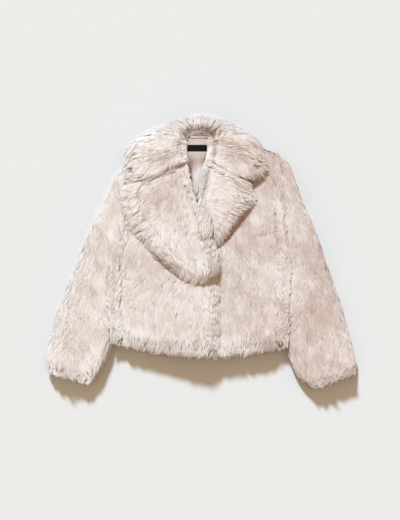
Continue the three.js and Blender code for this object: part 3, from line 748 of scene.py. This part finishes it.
def make_locks(skin, weight, edge, count, seed):
    """The pile of one piece."""
    rng = np.random.default_rng(seed)
    node = skin.node
    face, at, normal = scatter(skin, weight, count, rng)
    under = normal[:, 2] < UNDER
    rim = np.clip(1 - np.abs(normal[:, 2]) / RIM_UP, 0, 1)
    at, normal, loose = spill(at, normal, edge[face], rng)
    fringe = edge[face, 3]
    at[:, 2] += fringe * rng.random(count)
    x, y = at[:, 0], at[:, 1]
    way = nap(node, x, y)
    much, push = parted(x, y)
    # How much shade is painted here.
    deep = painted_shade(x, y)
    lean, tuft, of_tuft = clump(x, y, way, TUFTS, 31)
    sway, wisp, of_wisp = clump(x, y, way, WISPS, 37)

    # Which way each lock lies, and how long it is. On the sides the pile keeps more of its own
    # direction, so that it hangs over the edges.
    turn = TURNS["tuft"] * of_tuft[:, 1] + TURNS["wisp"] * of_wisp[:, 1]
    turn = turn + rng.normal(0, TURNS["stray"], count)
    way = turned(unit(way + push), np.radians(turn))
    way = unit(way - HANGS * normal * (way * normal).sum(1, keepdims=True))
    shape = LOCK_SHAPE
    long = rng.uniform(shape["shortest"], shape["longest"], count) * (1 - SHORTER * much)
    rise = shape["rise"] * rng.uniform(*RISES, count) * np.where(under, FLAT["rise"], 1)
    rise += shape["stand"] * np.clip((normal @ ROLLED_BACK - STANDS["from"]) / STANDS["over"], 0, 1)

    # Where its tip, its root and its knee are.
    stray = rng.normal(0, LIFT["stray"], count)
    lift = stray + LIFT["tuft"] * tuft + LIFT["wisp"] * wisp
    lift = lift + rng.exponential(LIFT["stray"], count) - LIFT["sunk"]
    lift = lift - LIFT["parted"] * much - LIFT["deep"] * deep
    lift = np.where(under, -FLAT["deep"] - FLAT["wisp"] * wisp, lift)
    ragged = rng.exponential(AHEAD["ragged"], count) * rim * ~loose
    ahead = rng.normal(0, AHEAD["stray"], count) + ragged
    tip = at + normal * lift[:, None] + way * ahead[:, None]
    tip += np.where(under[:, None], 0, lean + sway)
    run = np.sqrt(np.maximum(long**2 - rise**2, LEAST_RUN**2))
    back = way * run[:, None] + normal * rise[:, None]
    share = np.where(loose, clear_of_neck(at, back), room(skin, at, normal, -back))
    root = at - back * share[:, None]
    bow = BOW["least"] + BOW["of_rise"] * rise * share
    thick = rng.uniform(shape["thin"], shape["thick"], count)

    # Its tone, with painted shade in the shade zones, along the lapels' edges and on the fringe.
    patch = sum(high * swell(x, y, wide, luck) for high, wide, luck in PATCHES)
    patch += TONES["paler_right"] * np.clip(-x / ACROSS["over"], 0, 1)
    patch -= TONES["deeper_left"] * np.clip((x - ACROSS["from"]) / ACROSS["over"], 0, 1)
    tone = TONES["middle"] + PALER.get(node, 0) + patch
    tone = tone + TONES["tuft"] * of_tuft[:, 2] + TONES["wisp"] * of_wisp[:, 2]
    tone = tone + rng.normal(0, TONES["stray"], count)
    # Partings show the roots; the shade zones and the partings along the lapels' edges are painted
    # shade.
    tone = tone - TONES["parted"] * much - TONES["deep"] * deep
    # The fringe of the outer edges gets painted shade, as the sun lights it more than the rest.
    tone = np.clip(tone - TONES["fringe"] * np.clip(fringe / FRINGE_FULL_SHADE, 0, 1), *TONE_LIMITS)

    faced = unit(normal + np.outer(np.where(under, 0, SOFT_UP), (0, 0, 1)))
    mesh = lock_mesh(node + "_pile", root, tip, bow, normal, faced, thick, tone, rng)
    return placed(mesh, FUR)


def spill(at, normal, edge, rng):
    """Moves the locks of an edge out on to the slope that its loose pile makes: their places, the
    ways that they look, and which of them are loose."""
    reach = edge[:, 0] * rng.random(len(at))
    loose = reach > 1
    out = unit(normal * (1, 1, 0))
    place = at + out * reach[:, None]
    place[:, 2] = edge[:, 1] - edge[:, 2] * reach
    facing = unit(out * edge[:, 2:3] + np.array([0, 0, 1]))
    return np.where(loose[:, None], place, at), np.where(loose[:, None], facing, normal), loose


def clear_of_neck(at, back):
    """How much of each loose lock can be there without its root in the neck opening."""
    share = np.full(len(at), 0.15)
    for part in (0.3, 0.5, 0.7, 1.0):
        root = at - back * part
        share = np.where((share > part - 0.25) & ~in_neck(root[:, 0], root[:, 1]), part, share)
    return share


# The looking for room starts so many mm below the tip, and a lock takes most of what is free.
ROOM = {"below": 0.8, "least": 0.3, "most": 0.95}


def room(skin, at, normal, way):
    """How much of each lock fits into the solid behind its tip, up to 1."""
    length = np.linalg.norm(way, axis=1)
    start, heading = (at - normal * ROOM["below"]) * MM, way / length[:, None]
    share = np.ones(len(at))
    for i in range(len(at)):
        hit = skin.tree.ray_cast(Vector(start[i]), Vector(heading[i]), length[i] * MM)
        if hit[0] is not None:
            share[i] = max(ROOM["least"], ROOM["most"] * hit[3] / (length[i] * MM))
    return share


def dress_in_fur():
    """Backing and pile for every piece of fur."""
    skins = {node: Skin(node) for node in FUR_NODES}
    weights, loads, edges = {}, {}, {}
    for node, skin in skins.items():
        others = [s.tree for n, s in skins.items() if n != node]
        edges[node] = reach_of_edges(skin, others)
        weights[node] = density(skin, others, edges[node])
        loads[node] = float((skin.area * weights[node]).sum())
    per_lock = sum(loads.values()) / LOCKS_IN_ALL
    made = {}
    for seed, node in enumerate(FUR_NODES):
        count = min(MOST_LOCKS, int(loads[node] / per_lock))
        backing = make_backing(node)
        pile = make_locks(skins[node], weights[node], edges[node], count, seed + 1)
        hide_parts(node)
        made[node] = (backing, pile)
    return made


fur = dress_in_fur()


# Lining, hanger loop and label.
MOST_CUTS = 8


def finer(node, longest):
    """A copy of the solid, with its edges halved until none is longer than longest, in mm."""
    bm = merged_copy(node)
    for _ in range(MOST_CUTS):
        edges = [e for e in bm.edges if e.calc_length() > longest * MM]
        if not edges:
            break
        bmesh.ops.subdivide_edges(bm, edges=edges, cuts=1)
        bmesh.ops.triangulate(bm, faces=bm.faces)
    bm.normal_update()
    return bm


# The pleat's fold in mm: its line on X, how that leans, how sharp and how wide the fold is, how
# high, and where on Y it runs out.
PLEAT = {
    "x": -8, "lean": 0.02, "middle": 180, "edge": 0.8, "wide": 14,
    "deep": 2.2, "to": 236, "over": 30,
}
CREASES = {"high": 0.4, "long": 26}
LABEL = {"x": -9, "long": 62, "bow": 0.5}  # its middle on X, its length and how far it bows up


def make_lining():
    """The satin lining of the neck, with soft creases and the fold of its centre-back pleat."""
    bm = finer("lining", longest=4)
    top = [v for v in bm.verts if v.normal.z > 0.5]
    x, y = (np.array([v.co[k] for v in top]) / MM for k in (0, 1))
    beside = x - PLEAT["x"]
    steep = 1 / (1 + np.exp(-(beside - PLEAT["lean"] * (y - PLEAT["middle"])) / PLEAT["edge"]))
    fold = steep * np.exp(-np.clip(beside / PLEAT["wide"], 0, 9))
    deep = PLEAT["deep"] * np.clip((PLEAT["to"] - y) / PLEAT["over"], 0, 1)
    rise = deep * fold + CREASES["high"] * (1 + swell(x * 1.6, y * 0.6, CREASES["long"], 5))
    for vert, up in zip(top, rise):
        vert.co.z += up * MM
    piece = finished(bm, "lining_satin", SATIN)
    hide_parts("lining")
    return piece


def make_loop():
    """The hanger loop: a turned satin tube with softened edges."""
    bm = finer("hanger_loop", longest=2)
    every_way = {"use_axis_x": True, "use_axis_y": True, "use_axis_z": True}
    bmesh.ops.smooth_vert(bm, verts=bm.verts, factor=0.3, **every_way)
    piece = finished(bm, "hanger_loop_satin", SATIN)
    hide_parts("hanger_loop")
    return piece


def make_label():
    """The black ribbon, left bare, a little bowed between its ends."""
    bm = finer("label", longest=3)
    for vert in bm.verts:
        if vert.normal.z > 0.5:
            along = (vert.co.x / MM - LABEL["x"]) / LABEL["long"]
            vert.co.z += LABEL["bow"] * MM * math.cos(along * math.pi)
    piece = finished(bm, "label_ribbon", RIBBON, smooth=False)
    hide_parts("label")
    return piece


lining, loop, label = make_lining(), make_loop(), make_label()


# Floor and light.
FLOOR = {"size": 60, "z": -0.4}  # half its width in metres, and its height in mm


def lay_floor():
    """A wide plain floor, a hair's breadth under the coat."""
    bm = bmesh.new()
    bmesh.ops.create_grid(bm, x_segments=1, y_segments=1, size=FLOOR["size"])
    bmesh.ops.translate(bm, verts=bm.verts, vec=(0, 0, FLOOR["z"] * MM))
    mesh = bpy.data.meshes.new("floor")
    bm.to_mesh(mesh)
    bm.free()
    mesh.materials.append(floor_finish())
    floor = bpy.data.objects.new("floor", mesh)
    scene.collection.objects.link(floor)


# The sun's turn from +X, its height and its softness in degrees.
KEY = {"turn": 104, "height": 31, "soft": 7, "strength": 4.75, "colour": (0.72, 0.86, 1.0)}
SKY = {"colour": (1.0, 0.76, 0.52), "strength": 0.50}
# What the small lamp lights, where it hangs and how wide its spot is, in mm.
NECK_LIGHT = {
    "at": (-11, 276, 25), "from": (-11, -500, 1300), "across": 98, "blend": 0.9, "soft": 15,
    "power": 66, "colour": (0.85, 0.92, 1.0),
}


def hang(lamp, place, way):
    """Puts a lamp in the scene, with its light going against the given way."""
    made = bpy.data.objects.new(lamp.name, lamp)
    made.location = place
    made.rotation_euler = way.to_track_quat("Z", "Y").to_euler()
    scene.collection.objects.link(made)


def light():
    """A soft key light from beyond the collar, a small lamp for the neck and a warm even fill."""
    lamp = bpy.data.lights.new("key", "SUN")
    lamp.energy = KEY["strength"]
    lamp.angle = math.radians(KEY["soft"])
    lamp.color = KEY["colour"]
    turn, height = math.radians(KEY["turn"]), math.radians(KEY["height"])
    way = Vector(
        (math.cos(turn) * math.cos(height), math.sin(turn) * math.cos(height), math.sin(height))
    )
    hang(lamp, way * 3, way)

    # It hangs on the hem's side, and reaches into the neck, which the collar shades.
    small = bpy.data.lights.new("neck_light", "SPOT")
    small.energy = NECK_LIGHT["power"]
    small.shadow_soft_size = NECK_LIGHT["soft"] * MM
    small.color = NECK_LIGHT["colour"]
    way = Vector(NECK_LIGHT["from"]) - Vector(NECK_LIGHT["at"])
    small.spot_size = 2 * math.atan(NECK_LIGHT["across"] / 2 / way.length)
    small.spot_blend = NECK_LIGHT["blend"]
    hang(small, Vector(NECK_LIGHT["from"]) * MM, way)

    world = bpy.data.worlds.new("fill")
    world.use_nodes = True
    sky = world.node_tree.nodes["Background"]
    sky.inputs["Color"].default_value = (*SKY["colour"], 1)
    sky.inputs["Strength"].default_value = SKY["strength"]
    scene.world = world


BOUNCES = 10  # pale fur passes light on many times
lay_floor()
light()
scene.view_settings.view_transform = "Standard"
scene.cycles.diffuse_bounces = BOUNCES
